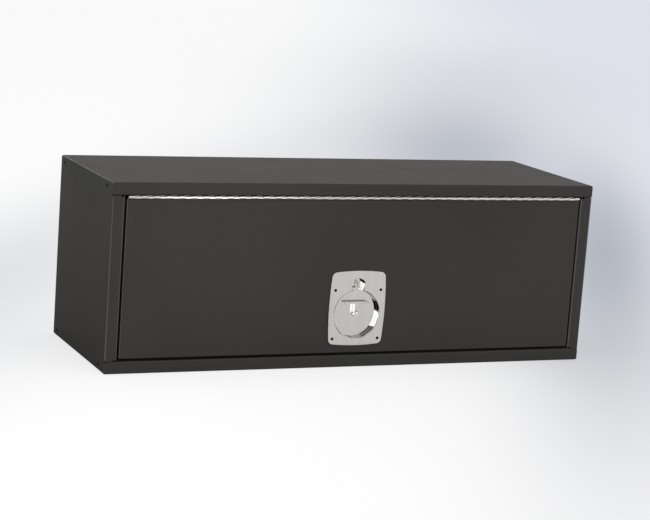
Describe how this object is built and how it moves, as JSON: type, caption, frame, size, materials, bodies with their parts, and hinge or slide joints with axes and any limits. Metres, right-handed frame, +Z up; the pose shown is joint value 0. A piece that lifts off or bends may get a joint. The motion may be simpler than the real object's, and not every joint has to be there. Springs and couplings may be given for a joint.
{
  "type": "truck bed storage locker",
  "caption": "Bent sheet steel storage locker with a lift-up door on a piano hinge, gas struts and a dish latch with a folding T handle and key lock.",
  "frame": {"origin": "middle of the bottom face", "axes": "+X to the right along the locker seen from the door side, +Y from the door to the back, +Z up"},
  "size_m": [1.0668, 0.36, 0.381],
  "materials": {
    "black_powder_coat": "satin black powder coat with a fine texture",
    "polished_stainless": "polished stainless steel",
    "bright_hinge_steel": "bright stainless, lightly brushed",
    "zinc_steel": "zinc plated",
    "dark_screw": "black oxide",
    "seal_rubber": "matte black foam rubber",
    "lock_metal": "plated lock parts",
    "strut_black": "gloss black tube",
    "strut_plastic": "black moulded end fitting",
    "strut_rod_chrome": "hard chromed rod"
  },
  "bodies": {
    "locker_body": {"body_wrap": "black_powder_coat", "left_end_panel": "black_powder_coat", "right_end_panel": "black_powder_coat", "door_seal": "seal_rubber", "hinge_frame_leaf": "bright_hinge_steel", "hinge_pin": "bright_hinge_steel", "hinge_frame_rivet_1": "zinc_steel", "hinge_frame_rivet_2": "zinc_steel", "hinge_frame_rivet_3": "zinc_steel", "hinge_frame_rivet_4": "zinc_steel", "hinge_frame_rivet_5": "zinc_steel", "left_strut_body_bracket": "black_powder_coat", "right_strut_body_bracket": "black_powder_coat", "left_strut_body_stud": "zinc_steel", "right_strut_body_stud": "zinc_steel"},
    "door": {"door_skin": "black_powder_coat", "door_inner_panel": "black_powder_coat", "hinge_door_leaf": "bright_hinge_steel", "hinge_door_rivet_1": "zinc_steel", "hinge_door_rivet_2": "zinc_steel", "hinge_door_rivet_3": "zinc_steel", "hinge_door_rivet_4": "zinc_steel", "hinge_door_rivet_5": "zinc_steel", "left_strut_door_bracket": "black_powder_coat", "right_strut_door_bracket": "black_powder_coat", "left_strut_door_stud": "zinc_steel", "right_strut_door_stud": "zinc_steel", "latch_plate": "polished_stainless", "latch_gasket": "seal_rubber", "latch_backing_plate": "zinc_steel", "latch_screw_1": "dark_screw", "latch_screw_2": "dark_screw", "latch_screw_3": "dark_screw", "latch_screw_4": "dark_screw", "spindle_bush": "zinc_steel", "lock_body": "lock_metal", "lock_nut": "zinc_steel"},
    "latch_spindle": {"spindle": "polished_stainless", "locking_collar": "zinc_steel", "cam_arm": "zinc_steel", "cam_washer": "zinc_steel", "cam_nut": "zinc_steel", "handle_pin": "bright_hinge_steel"},
    "folding_handle": {"t_handle": "polished_stainless"},
    "lock_cylinder": {"lock_plug": "lock_metal", "lock_tailpiece": "zinc_steel", "tailpiece_nut": "zinc_steel"},
    "left_rod": {"left_strut_rod_eye": "strut_plastic", "left_strut_rod": "strut_rod_chrome"},
    "right_rod": {"right_strut_rod_eye": "strut_plastic", "right_strut_rod": "strut_rod_chrome"},
    "left_cylinder": {"left_strut_cylinder": "strut_black", "left_strut_gland": "strut_plastic", "left_strut_cylinder_eye": "strut_plastic"},
    "right_cylinder": {"right_strut_cylinder": "strut_black", "right_strut_gland": "strut_plastic", "right_strut_cylinder_eye": "strut_plastic"}
  },
  "joints": [
    {"name": "door_lift", "type": "hinge", "parent": "locker_body", "child": "door", "pos_m": [0, -0.1795, 0.35213], "axis": [-1, 0, 0], "range_deg": [0, 90]},
    {"name": "spindle_turn", "type": "hinge", "parent": "door", "child": "latch_spindle", "pos_m": [0, -0.1807, 0.1115], "axis": [0, 1, 0], "range_deg": [0, 90]},
    {"name": "handle_fold", "type": "hinge", "parent": "latch_spindle", "child": "folding_handle", "pos_m": [0, -0.17385, 0.1135], "axis": [1, 0, 0], "range_deg": [0, 90]},
    {"name": "lock_turn", "type": "hinge", "parent": "door", "child": "lock_cylinder", "pos_m": [0, -0.1807, 0.1713], "axis": [0, 1, 0], "range_deg": [0, 90]},
    {"name": "left_rod_swing", "type": "hinge", "parent": "door", "child": "left_rod", "pos_m": [-0.48325, -0.1418, 0.30575], "axis": [1, 0, 0], "range_deg": [0, 95.4]},
    {"name": "right_rod_swing", "type": "hinge", "parent": "door", "child": "right_rod", "pos_m": [0.48325, -0.1418, 0.30575], "axis": [1, 0, 0], "range_deg": [0, 95.4]},
    {"name": "left_strut_extend", "type": "slide", "parent": "left_rod", "child": "left_cylinder", "axis": [0, 0.8965, -0.443], "range_m": [0, 0.0807]},
    {"name": "right_strut_extend", "type": "slide", "parent": "right_rod", "child": "right_cylinder", "axis": [0, 0.8965, -0.443], "range_m": [0, 0.0807]}
  ],
  "couplings": [
    {"joint": "left_rod_swing", "follows": "door_lift", "ratio": 1.0588},
    {"joint": "right_rod_swing", "follows": "door_lift", "ratio": 1.0588},
    {"joint": "left_strut_extend", "follows": "door_lift", "m_per_rad": 0.051299},
    {"joint": "right_strut_extend", "follows": "door_lift", "m_per_rad": 0.051299}
  ]
}
